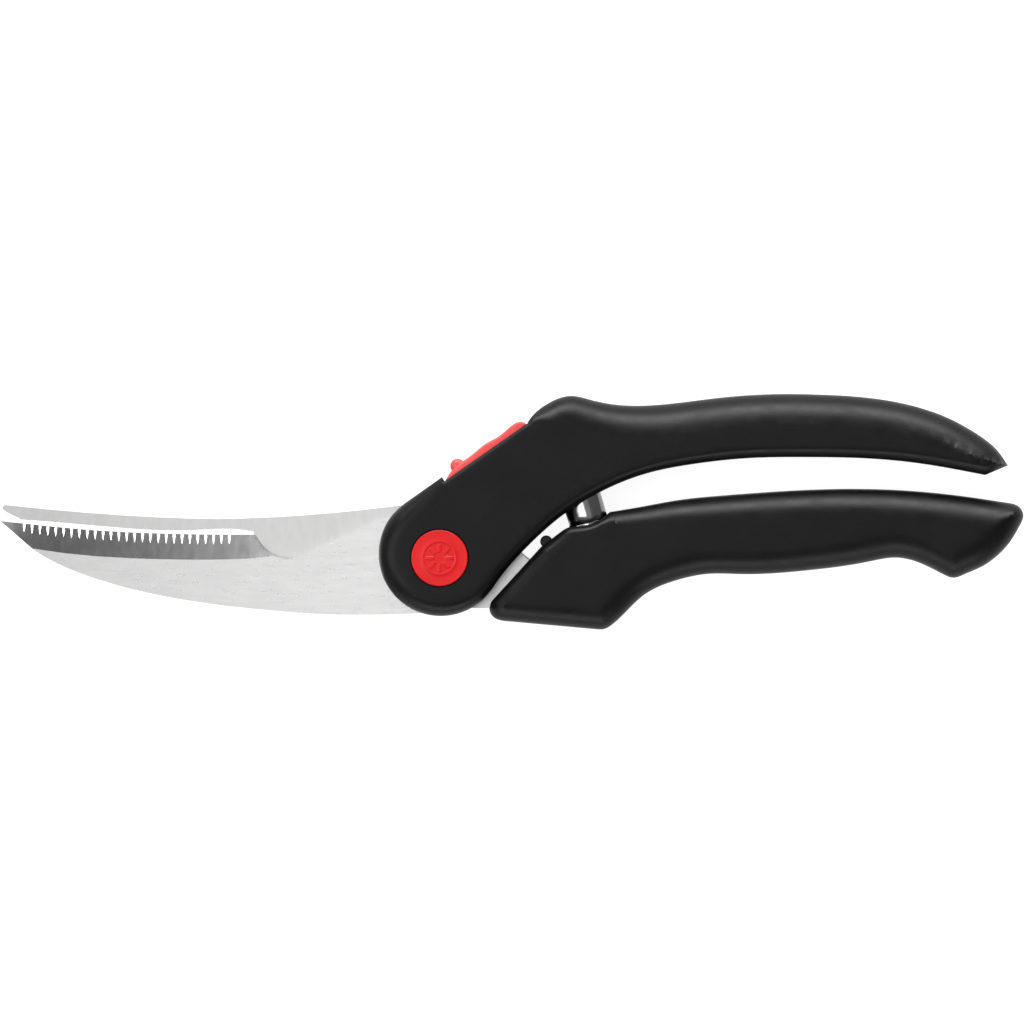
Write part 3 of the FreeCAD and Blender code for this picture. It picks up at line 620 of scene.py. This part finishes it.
# Rows of (station round the runs, width of the rolled edge, its depth, its fullness).
UPPER_EDGES = [(0.0, 4.2, 4.0, 2.0), (0.45, 4.2, 4.5, 2.0), (0.8, 3.2, 4.0, 2.0), (1.0, 2.4, 3.5, 2.0),
               (1.3, 2.4, 3.5, 2.0), (1.5, 2.2, 2.4, 1.35), (1.95, 2.2, 2.2, 1.3), (2.5, 3.0, 3.0, 2.0),
               (3.1, 8.5, 7.0, 2.0), (3.75, 9.5, 7.5, 2.0), (3.92, 6.8, 6.0, 2.0), (4.1, 4.0, 4.0, 2.0),
               (5.0, 1.0, 1.0, 2.0), (8.0, 1.0, 1.0, 2.0), (9.0, 4.2, 4.0, 2.0)]
LOWER_EDGES = [(0.0, 3.0, 4.0, 2.0), (1.8, 2.6, 3.5, 2.0), (2.1, 1.8, 2.2, 2.0), (2.9, 1.8, 2.2, 2.0),
               (3.1, 6.5, 6.0, 2.0), (3.4, 8.0, 6.5, 2.0), (3.55, 6.5, 5.8, 2.0), (4.0, 5.5, 5.0, 2.0),
               (5.0, 5.0, 5.0, 2.0), (6.0, 3.0, 4.0, 2.0)]
LOWER_REAR_EDGES = [(0.0, 1.2, 1.2, 2.0), (1.9, 1.2, 1.2, 2.0), (3.0, 5.0, 5.0, 2.0),
                    (4.0, 5.5, 5.0, 2.0), (4.4, 6.0, 5.5, 2.0), (4.6, 5.6, 5.2, 2.0),
                    (4.9, 5.0, 5.0, 2.0), (5.1, 3.0, 4.0, 2.0), (7.0, 2.6, 4.0, 2.0),
                    (8.0, 1.2, 1.2, 2.0), (9.0, 1.2, 1.2, 2.0)]


def screw_sinks(places):
    """Round recesses for a grip's screw heads."""
    return [round_tool(place, SCREW_HEAD, -1, SCREW_SINK + SCREW_HEAD_DEPTH) for place in places]


def rear_sweep():
    """The room round the pivot that the lower grip's rear boss turns in."""
    reach = 30
    corners = [(2.25, reach), (-reach, reach), (-reach, -reach), (25.3, -reach), (25.3, 2.0)]
    return prism([*round_run(PIVOT, SWEEP_ROUND, 57, 82), *corners], -1, GRIP_DEPTH + 1)


def upper_grip():
    """The upper grip's front and rear half shells."""
    outline, stations = anticlockwise(*closed_outline(upper_grip_runs()))
    edge = edge_values(stations, UPPER_EDGES)
    piece = moulding("upper_grip_front", outline, (GRIP_DEPTH, edge), (FRONT_STEEL + JOIN_GAP, PARTING))
    combine(piece, [round_tool(PIVOT, CAP_ROUND + CAP_GAP, GRIP_DEPTH - CAP_DEPTH, GRIP_DEPTH + 1),
                    spring_tool(*UPPER_POCKET), slot_tool(*SLIDE_ROOM, *SLIDE_ROOM_LEVELS)])
    finish_piece(piece, "grip", "upper_lever", "upper_grip_front_shell")

    piece = moulding("upper_grip_rear", outline, (FRONT_STEEL - JOIN_GAP, PARTING), (0, edge))
    combine(piece, [rear_sweep(), slot_tool(*LEG_ROOM, *LOCK_LEVELS), slot_tool(*HOOK_ROOM, *LOCK_LEVELS),
                    spring_tool(*UPPER_POCKET), slot_tool(*SLIDE_ROOM, *SLIDE_ROOM_LEVELS),
                    *screw_sinks(UPPER_SCREWS)])
    finish_piece(piece, "grip", "upper_lever", "upper_grip_rear_shell")


def lower_grip():
    """The lower grip's front half shell, and its rear one with the rear boss."""
    outline, stations = anticlockwise(*closed_outline(lower_grip_runs()))
    edge = edge_values(stations, LOWER_EDGES)
    piece = moulding("lower_grip_front", outline, (GRIP_DEPTH, edge), (SPLIT + JOIN_GAP, PARTING))
    combine(piece, [spring_tool(*LOWER_POCKET)])
    finish_piece(piece, "grip", "lower_lever", "lower_grip_front_shell")

    grip = moulding("tool", outline + inward_normals(outline) * 0.02, (SPLIT - JOIN_GAP, PARTING),
                    (4.0, PARTING))
    outline, stations = anticlockwise(*closed_outline(lower_rear_runs()))
    edge = edge_values(stations, LOWER_REAR_EDGES)
    piece = moulding("lower_grip_rear", outline, (REAR_STEEL, 0.001), (0, edge))
    combine(piece, [grip], "UNION")
    combine(piece, [round_tool(PIVOT, CAP_ROUND + CAP_GAP, -1, CAP_DEPTH),
                    round_tool(PIVOT, CAVITY_ROUND, 1, GRIP_DEPTH),
                    spring_tool(*LOWER_POCKET), *screw_sinks(LOWER_SCREWS)])
    finish_piece(piece, "grip", "lower_lever", "lower_grip_rear_shell")


# ---------------------------------------------------------------- caps, slide, screws and buffer
CAP_DISH = 0.12
ROSETTE_BARS = 8
BAR_START, BAR_END = 1.5, 3.3
BAR_HALF_WIDTH, BAR_SLOPE = 0.32, 0.16
RING_ROUND = 4.05
RING_HALF_WIDTH, RING_SLOPE = 0.17, 0.14


def rosette_depth(radius, angle):
    """How far a cap's face lies under its top: nothing on the rosette's bars and ring."""
    sector = 2 * pi / ROSETTE_BARS
    turned_by = (angle + sector / 2) % sector - sector / 2
    across = abs(radius * sin(turned_by))
    bar = max((across - BAR_HALF_WIDTH) / BAR_SLOPE, (BAR_START - radius) / BAR_SLOPE,
              (radius - BAR_END) / BAR_SLOPE)
    ring = (abs(radius - RING_ROUND) - RING_HALF_WIDTH) / RING_SLOPE
    return CAP_DISH * min(1, max(0, min(bar, ring)))


def cap(name, face, outward, body):
    """A round cover with a chamfered rim and a small raised rosette, sunk just under its face."""
    segments = 192
    radii = [0.01, *np.arange(0.3, 4.6, 0.16), 5.2, 6.0, CAP_ROUND - 0.42]
    vertices = [(0, 0, face - outward * CAP_DISH)]
    faces, rings = [], []
    levels = [(radius, None) for radius in radii]
    levels += [(CAP_ROUND - 0.3, 0.1), (CAP_ROUND - 0.09, 0.22), (CAP_ROUND, 0.45),
               (CAP_ROUND, CAP_DEPTH)]
    for radius, depth in levels:
        rings.append(len(vertices))
        for i in range(segments):
            angle = 2 * pi * i / segments
            under = rosette_depth(radius, angle) if depth is None else depth
            vertices.append((radius * cos(angle), radius * sin(angle), face - outward * under))
    for i in range(segments):
        faces.append([0, rings[0] + i, rings[0] + (i + 1) % segments])
    for low, high in zip(rings, rings[1:]):
        faces += band(low, high, segments)
    faces.append([rings[-1] + i for i in range(segments)])
    piece = mesh_object(name, vertices, faces, sharp=50)
    finish_piece(piece, "red", body, name + "_cap")


SLIDE_RUNS = [[(11.9, 0.03), (14.6, 1.15), (18.7, 1.5), (22.4, 1.65), (25.0, 1.85), (28.7, 1.5),
               (33.0, 1.8), (34.7, 1.65), (35.8, 0.9), (36.2, 0.03)], [(36.2, 0.03), (11.9, 0.03)]]
SLIDE_EDGES = [(0, 0.7, 0.7, 2.0), (0.95, 0.7, 0.7, 2.0), (1.05, 0.1, 0.1, 2.0), (1.95, 0.1, 0.1, 2.0),
               (2, 0.7, 0.7, 2.0)]
NUB = (16.5, 15.9)
NUB_ROUND = 1.8
LEG = ((19, 26), (10.0, SLOT_EDGE + 1))
LEG_TOP = 6.15


def slide():
    """The thumb slide: a slim bar that swells at its middle, with a rounded rib to push at."""
    low, high = [corner.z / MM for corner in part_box("lock_slider")]
    runs = [[slot_point(along, SLOT_EDGE + out) for along, out in run] for run in SLIDE_RUNS]
    outline, stations = anticlockwise(*closed_outline(runs, 0.3))
    edge = edge_values(stations, SLIDE_EDGES, easing=3)
    piece = moulding("lock_slide", outline, (high, edge), (low, edge), spacing=0.5)
    rib = turned("tool", rounded_profile(NUB_ROUND, low + 0.4, high - 0.4, 1.3), slot_point(*NUB))
    combine(piece, [rib, slot_tool(*LEG, low, LEG_TOP)], "UNION")
    finish_piece(piece, "slide", "lock", "lock_slider")


def join(name, parts):
    """One object from several that lie in place."""
    work = bmesh.new()
    for part in parts:
        work.from_mesh(part.data)
        bpy.data.objects.remove(part)
    mesh = bpy.data.meshes.new(name)
    work.to_mesh(mesh)
    work.free()
    mesh.shade_smooth()
    mesh.set_sharp_from_angle(angle=radians(30))
    piece = bpy.data.objects.new(name + "_set", mesh)
    bpy.context.scene.collection.objects.link(piece)
    return piece


def cross_arm(place, turn):
    """One arm of a screw's cross recess, to cut with."""
    start, end = (polar(place, CROSS_ARM, turn + half) for half in (0, 180))
    side = polar((0, 0), CROSS_HALF_WIDTH, turn + 90)
    corners = [(x + sign * side[0], y + sign * side[1])
               for (x, y), sign in ((start, 1), (end, 1), (end, -1), (start, -1))]
    return prism(corners, 0, SCREW_SINK + CROSS_DEPTH)


def screws(name, places, body):
    """Cross-recessed screws, their heads sunk in the grip's rear face."""
    under = SCREW_SINK + SCREW_HEAD_DEPTH
    tip = SCREW_SINK + SCREW_LENGTH
    profile = [(0, SCREW_SINK), (1.6, SCREW_SINK + 0.03), (2.3, SCREW_SINK + 0.2),
               (SCREW_HEAD - 0.1, SCREW_SINK + 0.55), (SCREW_HEAD - 0.1, under), (SCREW_SHANK, under),
               (SCREW_SHANK, tip - 0.5), (SCREW_SHANK - 0.5, tip), (0, tip)]
    made = [combine(turned("screw", profile, place), [cross_arm(place, turn) for turn in (30, 120)],
                    sharp=30) for place in places]
    finish_piece(join(name, made), "fastener", body, name)


def buffer():
    """The rubber stop between the levers, a round peg with rounded ends."""
    low, high = [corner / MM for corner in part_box("stop_buffer")]
    centre = ((low.x + high.x) / 2, (low.y + high.y) / 2)
    piece = turned("stop_peg", rounded_profile((high.x - low.x) / 2, low.z, high.z, 0.5), centre)
    finish_piece(piece, "rubber", "lower_lever", "stop_buffer")


# ---------------------------------------------------------------- the volute spring
STRIP = 0.5
STRIP_WIDTH = 8.1
SPRING_LOW, SPRING_HIGH = 0.4, 10.2
SPRING_ROUND = 5.3
SPRING_PITCH = 0.75
SPRING_TURNS = 4.25
SPRING_START = radians(47)
STEPS_A_TURN = 72


def volute():
    """A strip wound in a spiral, each turn a little smaller and set a little higher than the one outside
    it.
    """
    corner = 0.14
    half = STRIP_WIDTH / 2
    across = [(0, -half + corner), (0, -half / 2), (0, 0), (0, half / 2), (0, half - corner),
              (corner, half), (STRIP - corner, half), (STRIP, half - corner), (STRIP, 0),
              (STRIP, -half + corner), (STRIP - corner, -half), (corner, -half)]
    count = len(across)
    steps = int(SPRING_TURNS * STEPS_A_TURN)
    vertices, faces, weights = [], [], []
    lead = SPRING_HIGH - SPRING_LOW - STRIP_WIDTH
    for step in range(steps + 1):
        share = step / steps
        angle = SPRING_START + 2 * pi * SPRING_TURNS * share
        radius = SPRING_ROUND - SPRING_PITCH * SPRING_TURNS * share
        middle = SPRING_LOW + half + lead * share
        for inwards, along in across:
            vertices.append(spring_place(radius - inwards, angle, middle + along))
            weights.append(share)
        if step:
            faces += band(count * (step - 1), count * step, count)
    faces += [list(range(count)), [len(vertices) - count + i for i in range(count)]]
    piece = mesh_object("volute_strip", vertices, faces, sharp=50)
    piece.data.materials.append(FINISHES["spring"])
    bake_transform(piece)
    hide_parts("volute_spring")


# ---------------------------------------------------------------- floor, light and camera
VIEW_CENTRE = (17.71, 11.23)
VIEW_WIDTH = 250.5
FLOOR_REACH = 12
FLOOR_DROP = 0.0002


def add_floor():
    """A white table that glows softly, so the shears cast almost no shadow on it."""
    made, tree, shader = material("floor_paper", Roughness=0.9, Specular_IOR_Level=0.1,
                                  Emission_Color=(1, 1, 1, 1), Emission_Strength=0.92)
    shade = ramp(tree, noise(tree, 3, detail=2), (0.24,) * 3, (0.26,) * 3)
    tree.links.new(shade, shader.inputs["Base Color"])
    mesh = bpy.data.meshes.new("floor")
    corners = [(-1, -1, 0), (1, -1, 0), (1, 1, 0), (-1, 1, 0)]
    mesh.from_pydata([Vector(corner) * FLOOR_REACH for corner in corners], [], [(0, 1, 2, 3)])
    mesh.materials.append(made)
    floor = bpy.data.objects.new("floor", mesh)
    floor.location.z = -FLOOR_DROP
    bpy.context.scene.collection.objects.link(floor)


def add_light(name, place, size, power):
    """A soft rectangular light that looks at the shears."""
    light = bpy.data.lights.new(name, "AREA")
    light.shape = "RECTANGLE"
    light.size, light.size_y = size
    light.energy = power
    lamp = bpy.data.objects.new(name, light)
    lamp.location = place
    lamp.rotation_euler = (-Vector(place)).to_track_quat("-Z", "Y").to_euler()
    lamp.visible_camera = False
    bpy.context.scene.collection.objects.link(lamp)


def add_world(strength):
    """An even white surround."""
    world = bpy.data.worlds.new("studio")
    world.use_nodes = True
    background = world.node_tree.nodes["Background"]
    background.inputs["Strength"].default_value = strength
    background.inputs["Color"].default_value = (1, 1, 1, 1)
    bpy.context.scene.world = world


def add_camera():
    """Straight above the shears, far off with a long lens, so the view has almost no perspective."""
    camera = bpy.data.cameras.new("camera")
    camera.lens = 600
    camera.sensor_width = 36
    camera.clip_end = 50
    holder = bpy.data.objects.new("camera", camera)
    distance = VIEW_WIDTH * MM * camera.lens / camera.sensor_width
    holder.location = (VIEW_CENTRE[0] * MM, VIEW_CENTRE[1] * MM, FRONT_STEEL * MM + distance)
    bpy.context.scene.collection.objects.link(holder)
    bpy.context.scene.camera = holder


# ---------------------------------------------------------------- the scene
finish_nodes()
finish_blade("lower_blade")
upper_grip()
lower_grip()
cap("front_pivot", GRIP_DEPTH, 1, "upper_lever")
cap("rear_pivot", 0, -1, "lower_lever")
slide()
screws("upper_grip_screws", UPPER_SCREWS, "upper_lever")
screws("lower_grip_screws", LOWER_SCREWS, "lower_lever")
buffer()
volute()
add_floor()
add_world(0.25)
add_light("overhead", (0, 0, 2.2), (1.6, 1.6), 3)
add_light("back_strip", (0, 1.6, 0.75), (2.2, 0.7), 90)
add_light("front_strip", (0, -1.6, 0.75), (2.2, 0.7), 24)
add_light("left_soft", (-0.95, 0, 1.6), (0.8, 1.6), 18)
add_camera()
bpy.context.scene.view_settings.view_transform = "Standard"
